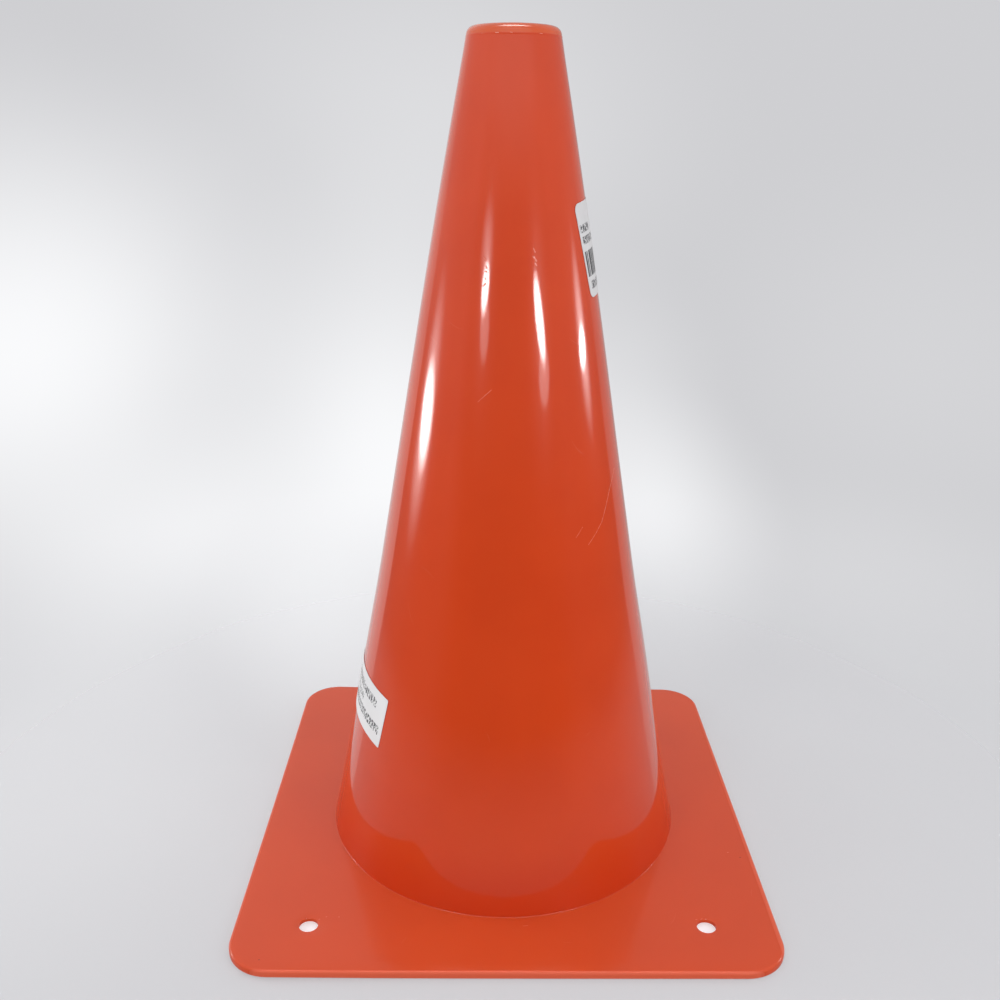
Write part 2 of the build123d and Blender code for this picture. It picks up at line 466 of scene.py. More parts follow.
# Section of the wall, up its outside from the foot, over the rim and down its inside
def wallSection():
    foot, rim, bead = coneWall["plateTop"] - coneWall["footSink"], coneWall["rimTop"], coneWall["footBead"]
    shoulder, edge, hole = coneWall["shoulderRadius"], coneWall["holeEdge"], coneWall["poleHoleRadius"]
    line, step, steps = coneWall["mouldLine"], coneWall["mouldStep"], coneWall["edgeSteps"]
    under, within, inner = coneWall["holeBreak"], coneWall["innerCorner"], -coneWall["thickness"]
    lean = wallLean(*coneWall["topBetween"])
    section = arcPoints((wallRadius(foot + bead) + bead, foot + bead), bead, 270, 180, steps)
    low, high = foot + bead, line - coneWall["mouldClear"]
    for row in range(1, coneWall["rows"] + 1):
        height = low + (high - low) * row / coneWall["rows"]
        section.append((wallRadius(height), height))
    for away, proud in coneWall["mouldRidge"]:
        section.append((wallRadius(line + away) + proud * step, line + away))
    middle = rim - shoulder
    crown = (wallRadius(middle) - shoulder / math.cos(lean), middle)
    section += arcPoints(crown, shoulder, math.degrees(lean), 90, coneWall["shoulderSteps"])
    section += arcPoints((hole + edge, rim - edge), edge, 90, 180, steps)
    floor = rim - coneWall["rimDepth"]
    section += [(hole, floor + edge), (hole, floor + under), (hole + under, floor)]
    section.append((wallRadius(floor, inner) - within, floor))
    for row in range(coneWall["innerRows"] + 1):
        height = floor - within - (floor - within - foot) * row / coneWall["innerRows"]
        section.append((wallRadius(height, inner), height))
    return section


# Turns a section round the upright axis, with a low unevenness in the wall
def turnedWallTree():
    tree, given, result = startTree("turnedWall", "GeometryNodeTree", {
        "Section": "Geometry", "Segments": 64, "Wave Depth": 0.0, "Wave Around": 1.0, "Wave Along": 10.0, "Foot": 0.0,
        "Rim": 0.3, "Seed": 0.0, "Material": "Material"}, {"Wall": "Geometry"})
    calmFoot, calmRim = (0.0, 0.02), (0.004, 0.03)  # the unevenness comes in this far from the foot and the rim
    count = addNode(tree, "GeometryNodeAttributeDomainSize", {"Geometry": given["Section"]}).outputs["Point Count"]
    rows = maths(tree, "ADD", count, 1.0)
    columns = maths(tree, "ADD", given["Segments"], 1.0)
    grid = addNode(tree, "GeometryNodeMeshGrid", {"Vertices X": columns, "Vertices Y": rows})
    index = addNode(tree, "GeometryNodeInputIndex").outputs[0]
    column = maths(tree, "FLOOR", maths(tree, "DIVIDE", maths(tree, "ADD", index, 0.5), rows))
    row = maths(tree, "SUBTRACT", index, product(tree, column, rows))
    inside = maths(tree, "LESS_THAN", row, maths(tree, "SUBTRACT", count, 0.5))
    row = product(tree, row, inside)  # the last row is the first again, which closes the section
    sample = addNode(tree, "GeometryNodeSampleIndex", {"Geometry": given["Section"], "Index": row},
                     data_type="FLOAT_VECTOR")
    wire(tree, sample.inputs["Value"], addNode(tree, "GeometryNodeInputPosition").outputs[0])
    outwards, _, height = parted(tree, sample.outputs[0])
    turn = product(tree, maths(tree, "DIVIDE", column, given["Segments"]), 2 * math.pi)
    across, deep = maths(tree, "COSINE", turn), maths(tree, "SINE", turn)
    around, along = given["Wave Around"], given["Wave Along"]
    place = joined(tree, product(tree, across, around), product(tree, deep, around),
                   product(tree, height, along))
    wave = addNode(tree, "ShaderNodeTexNoise", {"Vector": place, "W": given["Seed"], "Scale": 1.0, "Detail": 1.0},
                   noise_dimensions="4D").outputs[0]
    overFoot = ease(tree, maths(tree, "SUBTRACT", height, given["Foot"]), *calmFoot)
    belowRim = ease(tree, maths(tree, "SUBTRACT", given["Rim"], height), *calmRim)
    fade = product(tree, overFoot, belowRim)
    swing = product(tree, maths(tree, "MULTIPLY_ADD", wave, 2.0, -1.0), given["Wave Depth"])
    radius = maths(tree, "ADD", outwards, product(tree, swing, fade))
    moved = joined(tree, product(tree, radius, across), product(tree, radius, deep), height)
    wall = addNode(tree, "GeometryNodeSetPosition", {"Geometry": grid.outputs[0], "Position": moved})
    wall = addNode(tree, "GeometryNodeMergeByDistance", {"Geometry": wall.outputs[0], "Distance": 1e-6})
    wall = addNode(tree, "GeometryNodeSetShadeSmooth", {"Geometry": wall.outputs[0]})
    wall = addNode(tree, "GeometryNodeRealizeInstances", {"Geometry": wall.outputs[0]})
    wall = addNode(tree, "GeometryNodeSetMaterial", {"Geometry": wall.outputs[0], "Material": given["Material"]})
    wire(tree, result["Wall"], wall.outputs[0])
    return tree


wallMarks = [(width, [(math.radians(turn) * wallRadius(height), height) for turn, height in places])
             for width, places in coneWall["scratchesAndGlints"]]
wallPlastic = mouldedPlastic("wallPlastic", dict(plasticLook, **coneWall["look"]), wallMarks, unrolled=True)
section = bpy.data.meshes.new("wallSection")
section.from_pydata([(radius * mm, 0.0, height * mm) for radius, height in wallSection()], [], [])
wall = growPiece("coneWall", section, turnedWallTree(), {
    "Segments": coneWall["segments"], "Wave Depth": coneWall["waveDepth"] * mm, "Wave Around": coneWall["waveAround"],
    "Wave Along": coneWall["waveAlong"], "Foot": coneWall["plateTop"] * mm, "Rim": coneWall["rimTop"] * mm,
    "Seed": coneWall["seed"], "Material": wallPlastic})
settleFaces(wall.data)
print("cone wall:", len(wall.data.polygons), "faces")


# Distance from a point to the edge of a rounded rectangle, positive inside it
def roomInBox(x, y, halfX, halfY, corner):
    over = (abs(x) - halfX + corner, abs(y) - halfY + corner)
    return corner - math.hypot(max(over[0], 0), max(over[1], 0)) - min(max(over), 0)


def roundedLoop(halfX, halfY, corner, cornerSteps, spacing):
    loop = []
    for side, (x, y) in enumerate(((1, 1), (-1, 1), (-1, -1), (1, -1))):
        loop += arcPoints((x * (halfX - corner), y * (halfY - corner)), corner, 90 * side, 90 * side + 90, cornerSteps)
        aheadX, aheadY = ((-1, 0), (0, -1), (1, 0), (0, 1))[side]
        length = 2 * ((halfX if aheadX else halfY) - corner)
        steps = max(1, round(length / spacing))
        startX, startY = loop[-1]
        for step in range(1, steps):
            loop.append((startX + aheadX * length * step / steps, startY + aheadY * length * step / steps))
    return loop


def circleLoop(centre, radius, steps):
    return arcPoints(centre, radius, 0, 360, steps)[:-1]


# Steps across a rounded edge, as distances in from its side and down from its top
def roundedEdge(size, steps):
    turns = [math.radians(90 * step / steps) for step in range(steps + 1)]
    return [(size * (1 - math.sin(turn)), size * (1 - math.cos(turn))) for turn in turns]


# Fills flat loops with even triangles; the loops' points come first and keep their order
def fillFlat(loops, spacing, reach, room):
    rowSpacing, clear = spacing * 0.866, spacing * 0.6  # between rows, and from a row to an edge
    points = [Vector(point) for loop in loops for point in loop]
    edges, start = [], 0
    for loop in loops:
        edges += [(start + step, start + (step + 1) % len(loop)) for step in range(len(loop))]
        start += len(loop)
    rows, columns = int(reach[1] / rowSpacing) + 1, int(reach[0] / spacing) + 1
    for row in range(-rows, rows + 1):
        for column in range(-columns, columns + 1):
            x, y = (column + 0.5 * (row % 2)) * spacing, row * rowSpacing
            if room(x, y) > clear:
                points.append(Vector((x, y)))
    made, _, faces, origins = delaunay_2d_cdt(points, edges, [], 0, 1e-6)[:4]
    source = [origin[0] for origin in origins]
    kept = []
    for face in faces:
        middle = sum((made[corner] for corner in face), Vector((0, 0))) / len(face)
        if room(middle.x, middle.y) > 0:
            kept.append([source[corner] for corner in face])
    return points, kept


# Closed sheet: a stack of matching loops for each edge, filled flat at its top and bottom
def layeredSheet(edgeStacks, spacing, reach, room):
    points, faces, starts = [], [], []
    for stack in edgeStacks:
        rings = []
        for loop, level in stack:
            rings.append(len(points))
            points += [(x, y, level) for x, y in loop]
        count = len(stack[0][0])
        for upper, lower in zip(rings, rings[1:]):
            for step in range(count):
                after = (step + 1) % count
                faces.append((upper + step, lower + step, lower + after, upper + after))
        starts.append((rings[0], rings[-1], count))
    flat, triangles = fillFlat([stack[0][0] for stack in edgeStacks], spacing, reach, room)
    rimCount = sum(count for _, _, count in starts)
    for which in (0, 1):
        index = []
        for start in starts:
            index += range(start[which], start[which] + start[2])
        level = edgeStacks[0][-1 if which else 0][1]
        index += range(len(points), len(points) + len(flat) - rimCount)
        points += [(point.x, point.y, level) for point in flat[rimCount:]]
        faces += [[index[corner] for corner in triangle] for triangle in triangles]
    return points, faces


basePlate = {
    "halfSide": 100.0,
    "thickness": 3.0,
    "hollow": 1.5,  # the underside is hollow inside a turned-down rim
    "rimWidth": 2.5,
    "innerBreak": 0.2,  # the rim's inner edges
    "cornerRadius": 16.0,
    "topEdge": 1.2,
    "bottomEdge": 0.5,
    "pegs": [(-72.7, -76.8), (73.8, -76.8), (-70.6, 76.8), (72.0, 76.8)],
    "pegRadius": 3.5,
    "pegLip": 0.15,
    "openingTop": 70.45,
    "openingBottom": 70.8,
    "openingRing": 72.0,  # the flat top starts here, hidden below the wall
    "frontSpread": 1.0,  # how far the right front corner has crept outwards
    "spacing": 3.2,
    "edgeSpacing": 4.0,
    "edgeSteps": 6,
    "cornerSteps": 14,
    "pegSteps": 36,
    "openingSteps": 180,
    "cornerLift": {(-1, -1): 0.5, (1, -1): 0.1, (-1, 1): 0.9, (1, 1): 0.0},  # how far each has warped off the floor
    "liftStart": 2.0,  # the corners lift from this far off the foot
    "liftReach": 130.0,
    "ripple": 0.035,
    "rippleStart": 1.0,
    "rippleRise": 12.0,
    "rippleScale": 0.03,
    "rippleSeed": 2.7,
    "look": {
        "colour": (0.56, 0.0545, 0.0068, 1),
        "deepColour": (0.53, 0.050, 0.006, 1),
        "roughness": 0.13,
        "ior": 1.34,
        "haze": 0.46,
        "hazeRoughness": 0.6,
        "dullMirrored": 0.6,
        "speckShare": 0.02,
        # painted light: the plate's rounded outer edge and side face are coloured lighter, as if better lit
        "tints": [(98.9, 99.5, (0.60, 0.080, 0.026, 1))],
        "dulled": [(98.6, 99.2, 0.3)],
    },
    "scratchesAndGlints": [
        (0.22, [(6.4, -76.9), (8.2, -76.7)]),
        (0.42, [(91.1, -34.3), (91.5, -34.2)]),
        # painted highlights from here on: pale dots standing in for small glints round the front peg holes
        (0.34, [(-69.4, -73.8), (-69.0, -73.7)]),
        (0.30, [(-66.9, -72.5), (-66.6, -72.4)]),
        (0.26, [(-62.3, -72.5), (-61.9, -72.5)]),
        (0.32, [(71.0, -73.3), (71.5, -73.2)]),
        (0.28, [(73.2, -72.7), (73.7, -72.6)]),
    ],
    "grit": [
        (0.34, [(95.5, -37.5), (95.8, -37.4)]),
        (0.30, [(-87.4, -94.5), (-87.1, -94.5)]),
    ],
}


def plateRoom(x, y):
    half = basePlate["halfSide"] - basePlate["topEdge"]
    edge = roomInBox(x, y, half, half, basePlate["cornerRadius"] - basePlate["topEdge"])
    pegs = min(math.hypot(x - pegX, y - pegY) for pegX, pegY in basePlate["pegs"])
    return min(edge, pegs - basePlate["pegRadius"] - basePlate["pegLip"], math.hypot(x, y) - basePlate["openingRing"])


# How far the plate is off the floor at a place
def plateWarp(x, y):
    half, foot = basePlate["halfSide"], coneWall["footRadius"]
    scale, seed, off = basePlate["rippleScale"], basePlate["rippleSeed"], math.hypot(x, y) - foot
    free = max(0.0, (off - basePlate["liftStart"]) / (basePlate["liftReach"] - foot)) ** 2
    across, deep = (x / half + 1) / 2, (y / half + 1) / 2
    lift = 0.0
    for (sideX, sideY), amount in basePlate["cornerLift"].items():
        lift += amount * (across if sideX > 0 else 1 - across) * (deep if sideY > 0 else 1 - deep)
    grown = min(1.0, max(0.0, (off - basePlate["rippleStart"]) / basePlate["rippleRise"]))
    ripple = basePlate["ripple"] * grown * noise.noise(Vector((x * scale, y * scale, seed)))
    return max(0.0, lift * free + ripple)


# How far the plate has crept to the right at a place
def plateSpread(x, y):
    half = basePlate["halfSide"]
    return basePlate["frontSpread"] * max(0.0, x / half) ** 2 * max(0.0, 0.5 - 0.5 * y / half)


def plateSheet():
    half, corner, thick = basePlate["halfSide"], basePlate["cornerRadius"], basePlate["thickness"]
    bottom, hollow, rim, inner = (basePlate[key] for key in ("bottomEdge", "hollow", "rimWidth", "innerBreak"))
    levels = [(inset, thick - drop) for inset, drop in roundedEdge(basePlate["topEdge"], basePlate["edgeSteps"])]
    levels += [(0.0, bottom), (bottom, 0.0)]
    levels += [(rim - inner, 0.0), (rim, inner), (rim, hollow - inner), (rim + inner, hollow)]
    stacks = [[]]
    for inset, level in levels:
        side, turn = half - inset, corner - inset
        stacks[0].append((roundedLoop(side, side, turn, basePlate["cornerSteps"], basePlate["edgeSpacing"]), level))
    lip, radius = basePlate["pegLip"], basePlate["pegRadius"]
    profile = [(radius + inset, thick - drop) for inset, drop in roundedEdge(lip, 3)]
    profile += [(radius, hollow + lip), (radius + lip, hollow)]
    for peg in basePlate["pegs"]:
        stacks.append([(circleLoop(peg, ring, basePlate["pegSteps"]), level) for ring, level in profile])
    opening = [(basePlate["openingRing"], thick), (basePlate["openingTop"], thick),
               (basePlate["openingBottom"], hollow)]
    stacks.append([(circleLoop((0, 0), ring, basePlate["openingSteps"]), level) for ring, level in opening])
    points, faces = layeredSheet(stacks, basePlate["spacing"], (half, half), plateRoom)
    warped = []
    for x, y, z in points:
        warped.append(((x + plateSpread(x, y)) * mm, y * mm, (z + plateWarp(x, y)) * mm))
    return warped, faces


plateLook = dict(plasticLook, **basePlate["look"])
platePlastic = mouldedPlastic("platePlastic", plateLook, basePlate["scratchesAndGlints"], basePlate["grit"])
plate = meshPiece("basePlate", *plateSheet(), platePlastic)
print("base plate:", len(plate.data.polygons), "faces")


# Torn bits of plastic left round an edge: chips strewn along a ring
def edgeFlecksTree():
    tree, given, result = startTree("edgeFlecks", "GeometryNodeTree", {
        "Start": "Geometry", "Centre": "Vector", "Ring Radius": 0.01, "Count": 40, "Kept Share": 0.5, "Length": 0.001,
        "Width": 0.0002, "Rise": 0.0002, "Seed": 1, "Material": "Material"}, {"Flecks": "Geometry"})
    least, most = (0.3, 0.4, 0.5), (1.0, 1.0, 1.0)  # shares of a chip's width, rise and length
    ring = addNode(tree, "GeometryNodeCurvePrimitiveCircle", {"Radius": given["Ring Radius"]})
    dots = addNode(tree, "GeometryNodeCurveToPoints", {"Curve": ring.outputs[0], "Count": given["Count"]}, mode="COUNT")
    share = maths(tree, "SUBTRACT", 1.0, given["Kept Share"])
    dropped = addNode(tree, "FunctionNodeRandomValue", {"Probability": share, "Seed": given["Seed"]},
                      data_type="BOOLEAN")
    kept = addNode(tree, "GeometryNodeDeleteGeometry", {"Geometry": dots.outputs[0], "Selection": dropped.outputs[3]},
                   domain="POINT")
    chip = addNode(tree, "GeometryNodeMeshIcoSphere", {"Radius": 0.5, "Subdivisions": 1})
    otherSeed = maths(tree, "ADD", given["Seed"], 7.0)
    size = addNode(tree, "FunctionNodeRandomValue", {0: least, 1: most, "Seed": otherSeed}, data_type="FLOAT_VECTOR")
    shape = joined(tree, given["Width"], given["Rise"], given["Length"])
    scale = vectorMaths(tree, "MULTIPLY", size.outputs[0], shape)
    strewn = addNode(tree, "GeometryNodeInstanceOnPoints", {
        "Points": kept.outputs[0], "Instance": chip.outputs[0], "Rotation": dots.outputs["Rotation"], "Scale": scale})
    moved = addNode(tree, "GeometryNodeTransform", {"Geometry": strewn.outputs[0], "Translation": given["Centre"]})
    plain = addNode(tree, "GeometryNodeRealizeInstances", {"Geometry": moved.outputs[0]})
    done = addNode(tree, "GeometryNodeSetMaterial", {"Geometry": plain.outputs[0], "Material": given["Material"]})
    wire(tree, result["Flecks"], done.outputs[0])
    return tree


flashFlecks = {
    "ringLift": 0.01,
    "mould": {"count": 130, "keptShare": 0.22, "length": 2.8, "width": 0.26, "rise": 0.28, "seed": 63},
    "peg": {"count": 26, "keptShare": 0.22, "length": 0.7, "width": 0.12, "rise": 0.14, "seed": 11},
    # the flecks' pale colour is partly whitened plastic and partly a painted highlight, standing in for their glints
    "look": {
        "colour": (0.85, 0.46, 0.36, 1),
        "deepColour": (0.80, 0.40, 0.30, 1),
        "roughness": 0.42,
        "haze": 0.0,
    },
}

fleckPlasticWithPaintedGlint = mouldedPlastic("fleckPlasticWithPaintedGlint", dict(plasticLook, **flashFlecks["look"]))
fleckTree = edgeFlecksTree()
empty = bpy.data.meshes.new("nothing")


def strewFlecks(name, centre, radius, plan, number=0):
    return growPiece(name, empty, fleckTree, {
        "Centre": [part * mm for part in centre], "Ring Radius": radius * mm, "Count": plan["count"],
        "Kept Share": plan["keptShare"], "Length": plan["length"] * mm, "Width": plan["width"] * mm,
        "Rise": plan["rise"] * mm, "Seed": plan["seed"] + number, "Material": fleckPlasticWithPaintedGlint})


lineHeight = coneWall["mouldLine"]
lineRadius = wallRadius(lineHeight) + flashFlecks["ringLift"]
flecks = [strewFlecks("mouldFlecks", (0.0, 0.0, lineHeight), lineRadius, flashFlecks["mould"])]
for number, (x, y) in enumerate(basePlate["pegs"]):
    centre = (x + plateSpread(x, y), y, basePlate["thickness"] + plateWarp(x, y))
    lipRadius = basePlate["pegRadius"] + basePlate["pegLip"]
    flecks.append(strewFlecks(f"pegFlecks.{number}", centre, lipRadius, flashFlecks["peg"], number))
print("flecks:", sum(len(piece.data.polygons) for piece in flecks), "faces")

paperLook = {
    "fibreScale": 1500.0,
    "stainScale": 60.0,
    "stainShade": 0.93,
    "roughness": 0.32,
    "roughnessSwing": 0.2,
    "bumpStrength": 0.2,
    "bumpDepth": 0.03,
    "thickness": 0.12,
    "lift": 0.09,  # off the wall, with its glue
    "spacing": 1.6,
    "cornerSteps": 8,
    "curlPower": 6,  # keeps the curl near the corners
}

# What each number of a printed row sets
rowSockets = ("Level", "Depth", "Left", "Right", "Cells", "Lines", "Blocks", "Block Gap", "Groups", "Fill",
              "Group Fill", "Seed")

upperLabel = {
    "name": "upperLabel",
    "width": 50.0,
    "height": 33.0,
    "corner": 2.5,
    "middle": 242.1,
    "azimuth": 16.2,
    "tilt": 0.0,
    "curl": 0.05,
    "sheet": (0.61, 0.595, 0.60, 1),
    "ink": (0.03, 0.03, 0.035, 1),
    "rows": [
        (0.735, 0.085, 0.02, 0.92, 130.0, 5.0, 32.0, 0.22, 11.0, 0.72, 0.9, 4.0),
        (0.61, 0.085, 0.03, 0.78, 130.0, 5.0, 32.0, 0.22, 9.0, 0.72, 0.9, 9.0),
        (0.36, 0.27, 0.02, 0.93, 130.0, 1.0, 1.0, 0.0, 1.0, 0.5, 1.0, 14.0),
        (0.13, 0.085, 0.05, 0.66, 130.0, 5.0, 28.0, 0.22, 1.0, 0.72, 1.0, 19.0),
    ],
}

lowerLabel = {
    "name": "lowerLabel",
    "width": 50.0,
    "height": 21.0,
    "corner": 0.5,
    "middle": 66.0,
    "azimuth": -165.2,
    "tilt": -2.5,
    "curl": 0.08,
    "sheet": (0.70, 0.70, 0.70, 1),
    "ink": (0.05, 0.05, 0.055, 1),
    "rows": [
        (0.73, 0.17, 0.05, 0.93, 110.0, 6.0, 24.0, 0.2, 7.0, 0.62, 0.95, 5.0),
        (0.51, 0.13, 0.05, 0.60, 110.0, 5.0, 26.0, 0.2, 7.0, 0.62, 0.9, 11.0),
        (0.29, 0.17, 0.05, 0.95, 110.0, 6.0, 24.0, 0.2, 7.0, 0.62, 0.95, 17.0),
    ],
}


# A place on the wall, measured across and up from a label's middle on the wall unrolled flat
def onWall(label, across, up, lift):
    turn, level = math.radians(label["tilt"]), label["middle"]
    lean = wallLean(level - 5, level + 5)
    apex = level + wallRadius(level) / math.tan(lean)
    side = across * math.cos(turn) - up * math.sin(turn)
    reach = (apex - level) / math.cos(lean) - across * math.sin(turn) - up * math.cos(turn)
    around = math.radians(label["azimuth"]) + math.atan2(side, reach) / math.sin(lean)
    height = apex - math.hypot(side, reach) * math.cos(lean)
    radius = wallRadius(height, lift)
    return (radius * math.cos(around) * mm, radius * math.sin(around) * mm, (height + lift * math.sin(lean)) * mm)


def printedPaper(label):
    material, tree, shader = startMaterial(label["name"] + "Paper")
    coordinates = addNode(tree, "ShaderNodeTexCoord").outputs
    ink = 0.0
    for values in label["rows"]:
        row = placeGroup(tree, printRow, dict(zip(rowSockets, values), Place=coordinates["UV"]))
        ink = maths(tree, "MAXIMUM", ink, row)
    fibre = grain(tree, coordinates["Object"], paperLook["fibreScale"], 3.0)
    stain = grain(tree, coordinates["Object"], paperLook["stainScale"], 2.0)
    stained = [paperLook["stainShade"] * part for part in label["sheet"][:3]] + [1.0]
    sheet = mixColours(tree, ease(tree, stain, 0.3, 0.75), label["sheet"], stained)
    worn = product(tree, ink, ease(tree, fibre, 0.25, 0.5, 0.72, 1.0))
    wireAll(tree, shader, {
        "Base Color": mixColours(tree, worn, sheet, label["ink"]),
        "Roughness": maths(tree, "MULTIPLY_ADD", fibre, paperLook["roughnessSwing"], paperLook["roughness"]),
        "Normal": bumped(tree, fibre, paperLook),
    })
    return material


def stuckLabel(label):
    halfX, halfY, corner = label["width"] / 2, label["height"] / 2, label["corner"]

    def room(x, y):
        return roomInBox(x, y, halfX, halfY, corner)

    outline = roundedLoop(halfX, halfY, corner, paperLook["cornerSteps"], paperLook["spacing"])
    stack = [(outline, paperLook["thickness"]), (outline, 0.0)]
    flat, faces = layeredSheet([stack], paperLook["spacing"], (halfX, halfY), room)
    points = []
    for x, y, level in flat:
        corners = (abs(x / halfX) * abs(y / halfY)) ** paperLook["curlPower"]
        points.append(onWall(label, x, y, paperLook["lift"] + level + label["curl"] * corners))
    piece = meshPiece(label["name"], points, faces, printedPaper(label))
    layer = piece.data.uv_layers.new(name="printPlace")
    for loop in piece.data.loops:
        x, y, _ = flat[loop.vertex_index]
        layer.data[loop.index].uv = (x / label["width"] + 0.5, y / label["height"] + 0.5)
    return piece


labels = [stuckLabel(upperLabel), stuckLabel(lowerLabel)]
print("labels:", sum(len(piece.data.polygons) for piece in labels), "faces")

photoView = {
    "place": (-7.80, -393.39, 279.62),
    "yaw": 0.7044,
    "pitch": 19.1803,
    "roll": 0.6473,
    "focal": 1.0557348,  # in picture widths
    "sensor": 36.0,
    "clipStart": 10.0,
}


def addCamera(view):
    yaw, pitch, roll = (math.radians(view[key]) for key in ("yaw", "pitch", "roll"))
    ahead = Vector((math.sin(yaw) * math.cos(pitch), math.cos(yaw) * math.cos(pitch), -math.sin(pitch)))
    right = Vector((math.cos(yaw), -math.sin(yaw), 0))
    up = right.cross(ahead)
    tiltedRight = right * math.cos(roll) + up * math.sin(roll)
    tiltedUp = up * math.cos(roll) - right * math.sin(roll)
    data = bpy.data.cameras.new("photoCamera")
    data.sensor_width = view["sensor"]
    data.lens = view["sensor"] * view["focal"]
    data.clip_start = view["clipStart"] * mm
    camera = bpy.data.objects.new("photoCamera", data)
    facing = Matrix((tiltedRight, tiltedUp, -ahead)).transposed().to_4x4()
    camera.matrix_world = Matrix.Translation(Vector(view["place"]) * mm) @ facing
    scene.collection.objects.link(camera)
    scene.camera = camera


addCamera(photoView)

# Each lamp: a spot on the cone, the way its reflection leaves it (from the front, and up), how far off, size, lean,
# brightness, and how soft its edge is
lampPlan = {
    "frontLeft": ((-8.6, -28.5, 229), -34.0, 10.9, 0.60, (0.10, 0.046), 10.0, 24.0, 0.5),
    "frontLeftGlow": ((-8.6, -27, 240), -34.5, 13.0, 0.62, (0.15, 0.09), 0.0, 2.6, 1.0),
    "frontLeftTail": ((-8.6, -30, 212), -32.0, 9.1, 0.62, (0.12, 0.058), 0.0, 2.0, 0.4),
    "frontRight": ((9.5, -31, 217), 36.0, 9.2, 0.60, (0.06, 0.14), 62.0, 27.0, 0.5),
    "frontRightTail": ((12, -35, 194), 39.5, 6.2, 0.62, (0.14, 0.06), 0.0, 2.3, 0.3),
    "left": ((-30, -24, 180), -101.0, -2.3, 0.60, (0.19, 0.09), 0.0, 15.0, 0.6),
    "leftTail": ((-29, -24, 180), -101.5, -2.0, 0.62, (0.22, 0.19), 0.0, 3.0, 1.0),
    "right": ((24, -23, 205), 95.6, 1.8, 0.60, (0.12, 0.038), 0.0, 23.0, 0.6),
    "rightTail": ((25, -25, 204), 97.0, 2.8, 0.62, (0.14, 0.14), 0.0, 4.6, 1.0),
}

lampSpread = 0.6  # how far a fully soft edge spreads, as a share of the lamp's size
lampMiddle = 0.5  # in the lamp's own coordinates


def addLamp(name, spot, turn, rise, far, size, lean, brightness, soft):
    turn, rise = math.radians(turn), math.radians(rise)
    way = Vector((math.sin(turn) * math.cos(rise), -math.cos(turn) * math.cos(rise), math.sin(rise)))
    data = bpy.data.lights.new(name, "AREA")
    data.shape = "ELLIPSE"
    data.size, data.size_y = (side * (1 + lampSpread * soft) for side in size)
    data.energy = math.pi * data.size * data.size_y * brightness
    data.use_nodes = True
    tree = data.node_tree
    place = addNode(tree, "ShaderNodeNewGeometry").outputs["Parametric"]
    reach = vectorMaths(tree, "DISTANCE", place, (lampMiddle, lampMiddle, 0.0))
    falloff = ease(tree, reach, lampMiddle * (1 - soft), lampMiddle, 1.0, 0.0)
    wire(tree, tree.nodes["Emission"].inputs["Strength"], falloff)
    lamp = bpy.data.objects.new(name, data)
    facing = way.to_track_quat("Z", "Y").to_matrix().to_4x4() @ Matrix.Rotation(math.radians(lean), 4, "Z")
    lamp.matrix_world = Matrix.Translation(Vector(spot) * mm + way * far) @ facing
    lamp.visible_camera = False
    scene.collection.objects.link(lamp)


for name, plan in lampPlan.items():
    addLamp(name, *plan)
print("camera and lamps placed")

stage = {
    "radius": 1600.0,
    "sides": 96,
    "drop": 0.05,  # keeps the floor clear of the plate's rim
    "fade": (150.0, 450.0),  # the floor fades out between these
    "plateEdge": (85.0, 98.0),  # and changes between these under the plate
    "coneEdge": (72.0, 76.0),
    "cover": 0.45,  # the floor lets part of the pale backdrop through, so its shadows stay soft
    "coverBelow": 0.12,  # the same within the plate's edge, for its light
    "paintedGlowBelow": 0.55,  # painted light: how brightly the floor glows where the plate's holes show it
    "floorColour": (0.605, 0.605, 0.62, 1),
    "floorGrain": (0.55, 0.55, 0.57, 1),
    "grainScale": 6.0,
    "grainShare": 0.4,
    "floorRoughness": 0.6,
    "floorShine": 0.2,
    "backColour": (0.625, 0.625, 0.645, 1),
    "glowColour": (0.98, 0.985, 1.0, 1),
    "glows": [  # direction across and up, reach across and up, strength
        ((-0.09, -0.30), (0.23, 0.32), 0.92),
        ((-0.40, -0.18), (0.29, 0.28), 0.92),
        ((-0.27, -0.36), (0.22, 0.15), 0.68),
        ((-0.14, -0.42), (0.13, 0.12), 0.90),
        ((-0.33, -0.52), (0.30, 0.18), 0.38),
        ((0.15, -0.35), (0.14, 0.15), 0.72),
        ((0.10, -0.25), (0.14, 0.17), 0.35),
        ((-0.05, 0.00), (0.30, 0.22), 0.28),
        ((0.38, -0.18), (0.22, 0.2), 0.10),
        ((0.33, -0.37), (0.24, 0.10), 0.15),
    ],
    "fill": (0.77, 0.78, 0.80, 1),
    "fillAbove": (0.99, 1.0, 1.02, 1),
    "frontLevels": [  # how bright the room is by degrees up
        (-90, 0.03), (-10, 0.03), (-4, 0.05), (0, 0.08), (5, 0.17), (8, 0.22), (12, 0.25), (16, 0.32), (19, 0.48),
        (21, 0.72), (23, 0.92), (32, 1.3), (50, 2.0), (65, 1.8), (90, 1.0),
    ],
    "sideLevels": [
        (-90, 0.30), (-18, 0.20), (-14, 0.15), (-8, 0.17), (-4, 0.24), (0, 0.36), (5, 0.5), (13, 0.6), (17, 0.7),
        (21, 0.88), (90, 0.95),
    ],
    "levelBlue": 1.03,  # the room is a little bluish
    "frontToSide": (-0.80, -0.45),  # by the depth of a direction
    "sideToBack": (0.555, 0.568),
    "backLean": 0.018,
    "fillRise": (0.0, 0.9),
    "sideDim": (-0.5, 0.5, 1.0, 0.78),  # across, from and to, and the brightness at each
    "backDim": (-0.3, 0.3, 0.72, 0.44),
    "backRise": (0.2, 0.6, 1.0, 1.35),  # the same upwards
    "glint": ((0.0, -0.10), (0.5, 0.26), 13.0),  # a bright patch overhead: across and deep, its reach, brightness
    "glintCore": 0.3,
    "glintLow": 0.5,
}


